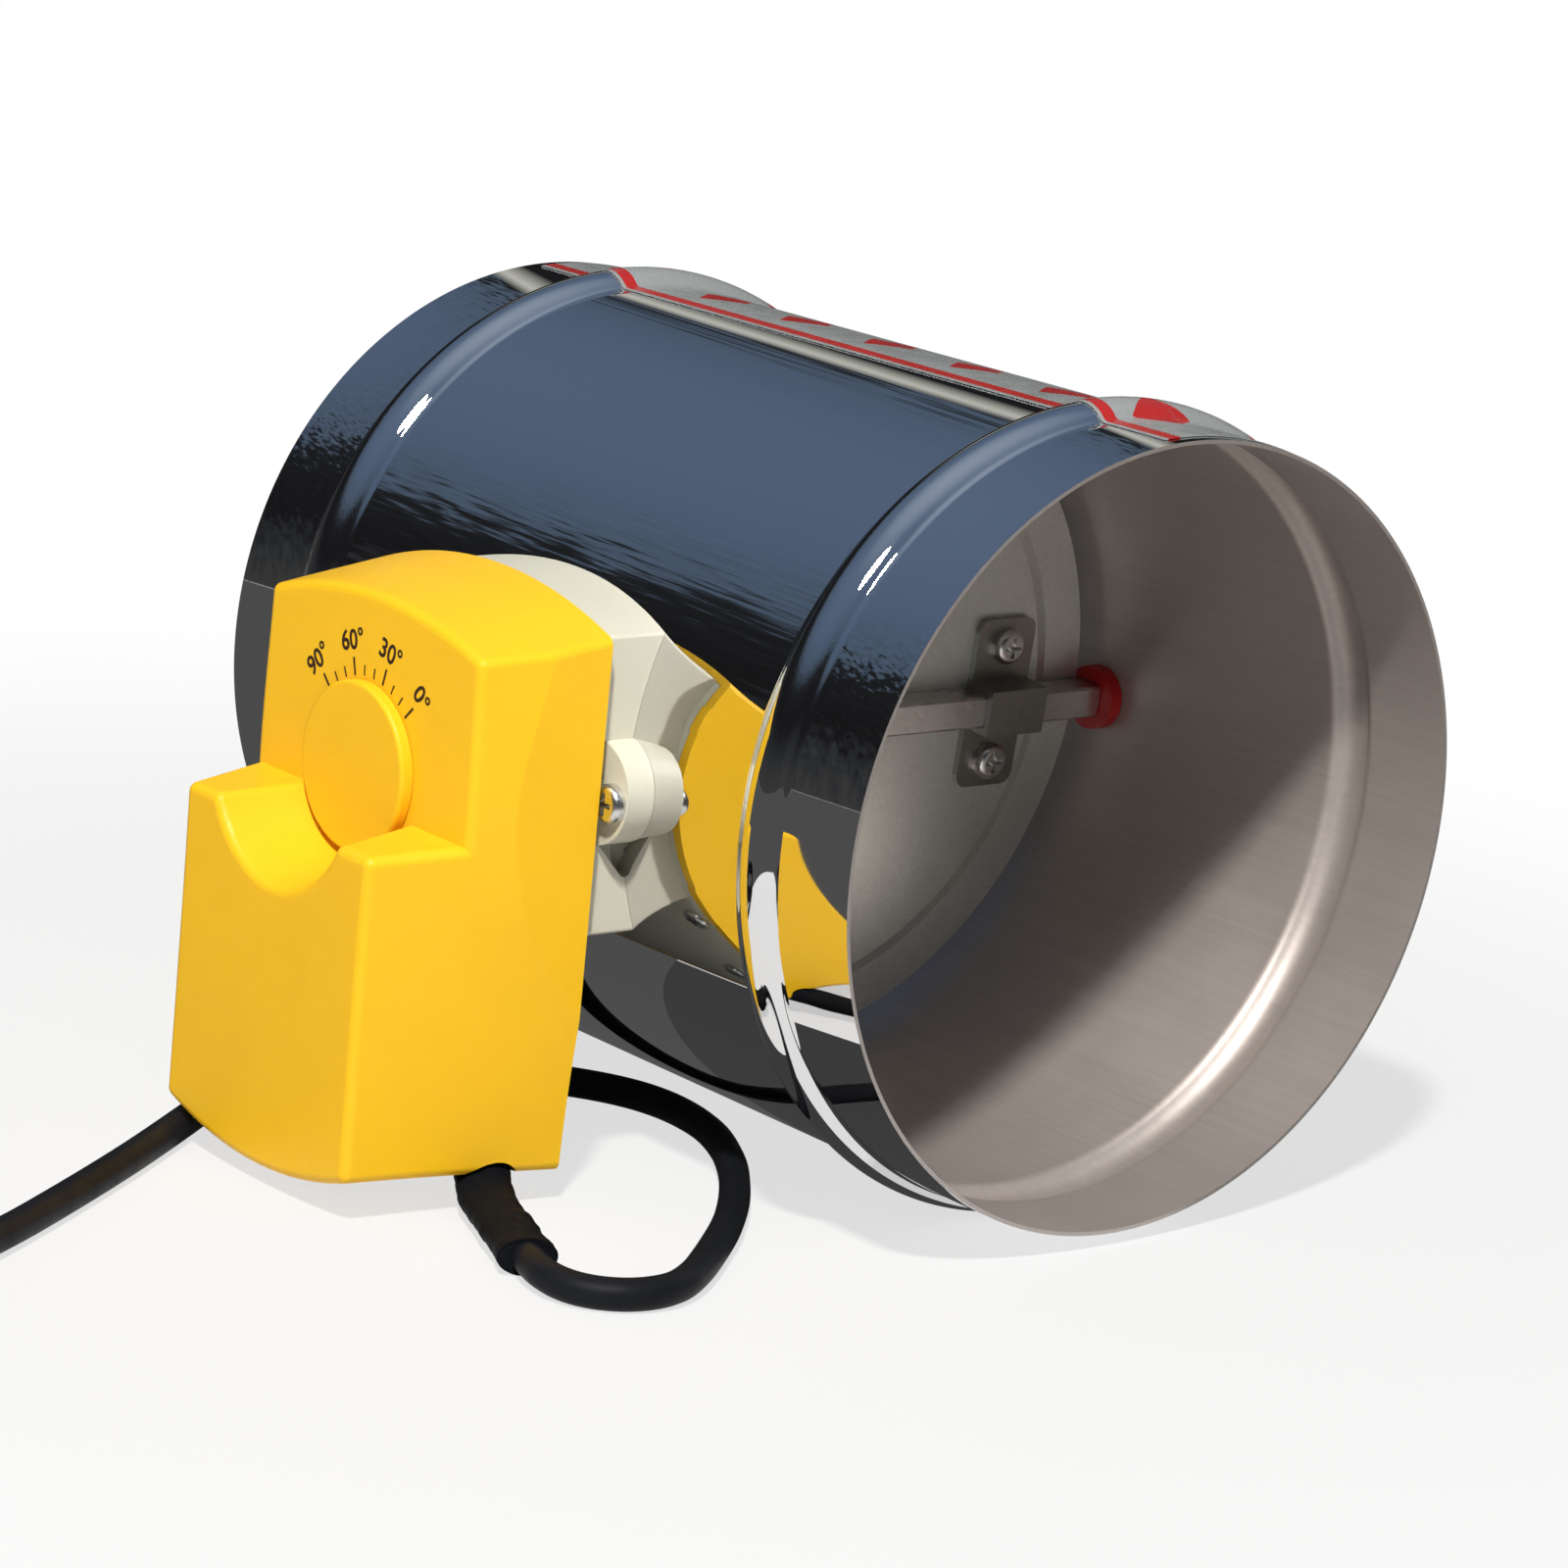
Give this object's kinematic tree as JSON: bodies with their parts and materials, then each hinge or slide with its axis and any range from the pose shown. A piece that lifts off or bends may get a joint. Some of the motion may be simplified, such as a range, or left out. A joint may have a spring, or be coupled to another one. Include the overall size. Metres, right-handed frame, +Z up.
{
  "type": "motorized duct damper",
  "caption": "Round duct section with a butterfly damper blade, turned by a geared motor in a yellow housing on an ivory flange, with a black cable coiled at its end",
  "frame": {"origin": "centre of the back collar's mouth, on the duct's axis", "axes": "+X along the duct's axis to the front collar, +Z up with the actuator on the -Y side, +Y to the damper shaft's far end"},
  "size_m": [0.204, 0.3687, 0.1663],
  "materials": {
    "polished_steel": "mirror-polished stainless sheet, satin inside",
    "printed_film": "pale printed film",
    "red_plastic": "moulded bush",
    "brushed_steel": "satin stainless sheet and bar",
    "zinc_screws": "bright zinc",
    "ivory_plastic": "moulded, slightly satin",
    "yellow_plastic": "moulded, fine texture",
    "black_plastic": "moulded",
    "brass_gear": "machined",
    "green_board": "solder-masked laminate",
    "black_rubber": "smooth cable sheath, taped sleeve",
    "core_plastic": "core insulation"
  },
  "bodies": {
    "duct": {"duct_shell": "polished_steel", "film_strip": "printed_film", "far_bush": "red_plastic", "near_bush": "red_plastic", "saddle_flange": "ivory_plastic", "saddle_screws": "zinc_screws", "adapter_flange": "ivory_plastic", "flange_screws": "zinc_screws", "actuator_cover": "yellow_plastic", "base_plate": "ivory_plastic", "adapter_screws": "zinc_screws", "cover_screws": "zinc_screws", "geared_motor": "zinc_screws", "motor_plate": "zinc_screws", "plate_pillars": "brass_gear", "pillar_screws": "zinc_screws", "switch_plate": "zinc_screws", "switch_plate_screws": "zinc_screws", "left_limit_switch": "black_plastic", "right_limit_switch": "black_plastic", "circuit_board": "green_board", "terminal_block": "green_board", "cable_clamp": "black_plastic", "clamp_screw": "zinc_screws", "cable_sleeve": "black_rubber", "cable_tube": "black_rubber", "cable_coil": "black_rubber", "coil_tie": "black_plastic", "core_wires": "core_plastic"},
    "blade": {"shaft": "brushed_steel", "blade_disc": "brushed_steel", "near_strap": "brushed_steel", "far_strap": "brushed_steel", "strap_screws": "zinc_screws", "strap_nuts": "zinc_screws", "output_gear": "ivory_plastic", "gear_clip": "zinc_screws", "limit_cam": "black_plastic", "knob": "yellow_plastic"},
    "pinion": {"motor_pinion": "brass_gear", "motor_shaft": "brushed_steel"}
  },
  "joints": [
    {"name": "blade_turn", "type": "hinge", "parent": "duct", "child": "blade", "pos_m": [0.102, 0, 0], "axis": [0, 1, 0], "range_deg": [-5, 85]},
    {"name": "pinion_turn", "type": "hinge", "parent": "duct", "child": "pinion", "pos_m": [0.102, 0, -0.03012], "axis": [0, 1, 0], "range_deg": [-255, 15]}
  ],
  "couplings": [
    {"joint": "pinion_turn", "follows": "blade_turn", "ratio": -3}
  ]
}
